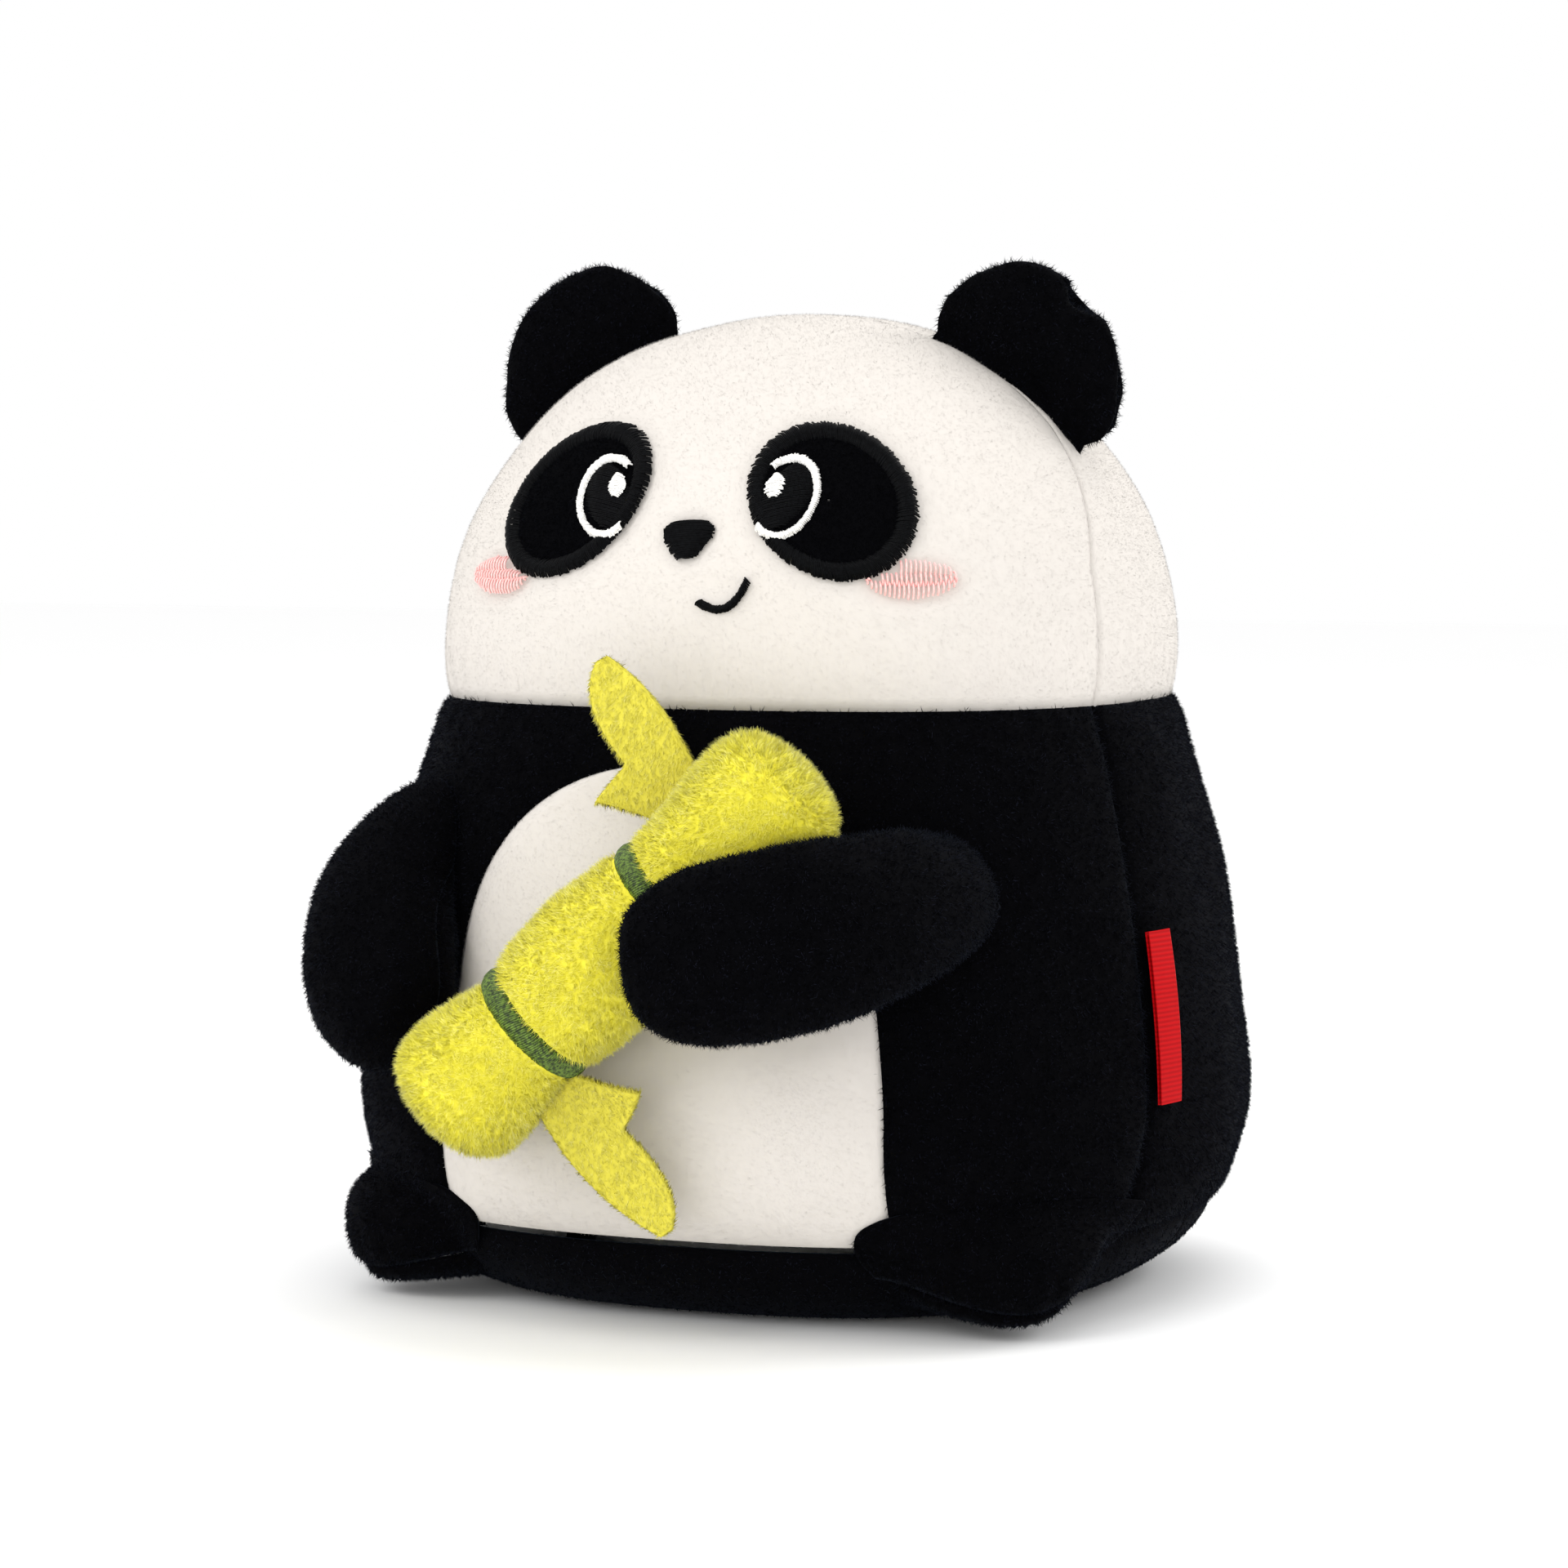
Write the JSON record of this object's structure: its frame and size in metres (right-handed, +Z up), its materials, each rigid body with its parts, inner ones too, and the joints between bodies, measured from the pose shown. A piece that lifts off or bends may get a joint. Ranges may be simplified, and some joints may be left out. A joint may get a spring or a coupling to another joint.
{
  "type": "plush panda",
  "caption": "Stuffed panda sitting upright, with embroidered eyes, hugging a yellow bamboo stalk with two leaves against its white belly.",
  "frame": {"origin": "middle of the flat base that the toy sits on", "axes": "+Z up, -Y the way the face looks, +X the toy's own left"},
  "size_m": [0.1939, 0.2203, 0.2262],
  "materials": {
    "white_minky": "short-pile polyester plush, warm white",
    "black_minky": "short-pile polyester plush, black",
    "yellow_plush": "longer-pile polyester plush, lime yellow",
    "yellow_minky": "short-pile polyester plush, lime yellow",
    "black_velour": "flat black velour",
    "black_thread": "black satin-stitch rayon thread",
    "white_thread": "white satin-stitch rayon thread",
    "pink_thread": "pink rayon thread",
    "green_thread": "dark green satin-stitch rayon thread",
    "red_ribbon": "woven red polyester ribbon",
    "polyester_fibre": "loose white polyester fibre",
    "pellet_pouch": "cotton bag of plastic pellets"
  },
  "bodies": {
    "torso": {"head_front_panel": "white_minky", "head_back_panel": "white_minky", "body_front_panel": "black_minky", "belly_panel": "white_minky", "body_back_left_panel": "black_minky", "body_back_right_panel": "black_minky", "base_panel": "black_minky", "fibre_filling": "polyester_fibre", "pellet_pouch": "pellet_pouch", "back_closing_stitches": "black_thread", "eye_patch_left": "black_velour", "eye_patch_right": "black_velour", "eye_border_left": "black_thread", "eye_border_right": "black_thread", "pupil_left": "black_thread", "pupil_right": "black_thread", "eye_arc_left": "white_thread", "eye_arc_right": "white_thread", "eye_highlight_left": "white_thread", "eye_highlight_right": "white_thread", "nose": "black_thread", "mouth": "black_thread", "cheek_left": "pink_thread", "cheek_right": "pink_thread", "foot_left_top": "black_minky", "foot_left_sole": "black_minky", "foot_left_filling": "polyester_fibre", "foot_right_top": "black_minky", "foot_right_sole": "black_minky", "foot_right_filling": "polyester_fibre"},
    "arm_left": {"arm_left_outer": "black_minky", "arm_left_inner": "black_minky", "arm_left_filling": "polyester_fibre"},
    "arm_right": {"arm_right_outer": "black_minky", "arm_right_inner": "black_minky", "arm_right_filling": "polyester_fibre"},
    "ear_left": {"ear_left_front": "black_minky", "ear_left_back": "black_minky", "ear_left_filling": "polyester_fibre"},
    "ear_right": {"ear_right_front": "black_minky", "ear_right_back": "black_minky", "ear_right_filling": "polyester_fibre"},
    "bamboo": {"bamboo_sleeve": "yellow_plush", "bamboo_top_disc": "yellow_plush", "bamboo_bottom_disc": "yellow_plush", "bamboo_filling": "polyester_fibre", "bamboo_ring_upper": "green_thread", "bamboo_ring_lower": "green_thread"},
    "leaf_upper": {"leaf_upper": "yellow_minky"},
    "leaf_lower": {"leaf_lower": "yellow_minky"},
    "label": {"side_label": "red_ribbon"}
  },
  "joints": [
    {"name": "arm_left_lift", "type": "hinge", "parent": "torso", "child": "arm_left", "pos_m": [0.082, -0.046, 0.093], "axis": [-0.1849, 0.1199, 0.9754], "range_deg": [0, 20], "stiffness_Nm_per_rad": 1.2},
    {"name": "arm_right_lift", "type": "hinge", "parent": "torso", "child": "arm_right", "pos_m": [-0.08, -0.044, 0.108], "axis": [-0.2196, -0.1198, -0.9682], "range_deg": [0, 20], "stiffness_Nm_per_rad": 0.8},
    {"name": "ear_left_fold", "type": "hinge", "parent": "torso", "child": "ear_left", "pos_m": [0.04835, -0.0045, 0.20196], "axis": [0.8192, 0, -0.5736], "range_deg": [-25, 25], "stiffness_Nm_per_rad": 0.05},
    {"name": "ear_right_fold", "type": "hinge", "parent": "torso", "child": "ear_right", "pos_m": [-0.04835, -0.0045, 0.20196], "axis": [0.8192, 0, 0.5736], "range_deg": [-25, 25], "stiffness_Nm_per_rad": 0.05},
    {"name": "bamboo_roll", "type": "hinge", "parent": "arm_left", "child": "bamboo", "pos_m": [0.0012, -0.1055, 0.08125], "axis": [0.7201, 0.1258, 0.6824], "range_deg": [-10, 10], "stiffness_Nm_per_rad": 0.1},
    {"name": "leaf_upper_bend", "type": "hinge", "parent": "bamboo", "child": "leaf_upper", "pos_m": [0.007, -0.094, 0.108], "axis": [0.7201, 0.1258, 0.6824], "range_deg": [-8, 20], "stiffness_Nm_per_rad": 0.01},
    {"name": "leaf_lower_bend", "type": "hinge", "parent": "bamboo", "child": "leaf_lower", "pos_m": [-0.01, -0.11, 0.052], "axis": [-0.7201, -0.1258, -0.6824], "range_deg": [-8, 20], "stiffness_Nm_per_rad": 0.01},
    {"name": "label_flap", "type": "hinge", "parent": "torso", "child": "label", "pos_m": [0.0926, -0.0353, 0.0645], "axis": [0.1153, -0.0975, -0.9885], "range_deg": [0, 50], "stiffness_Nm_per_rad": 0.002}
  ]
}
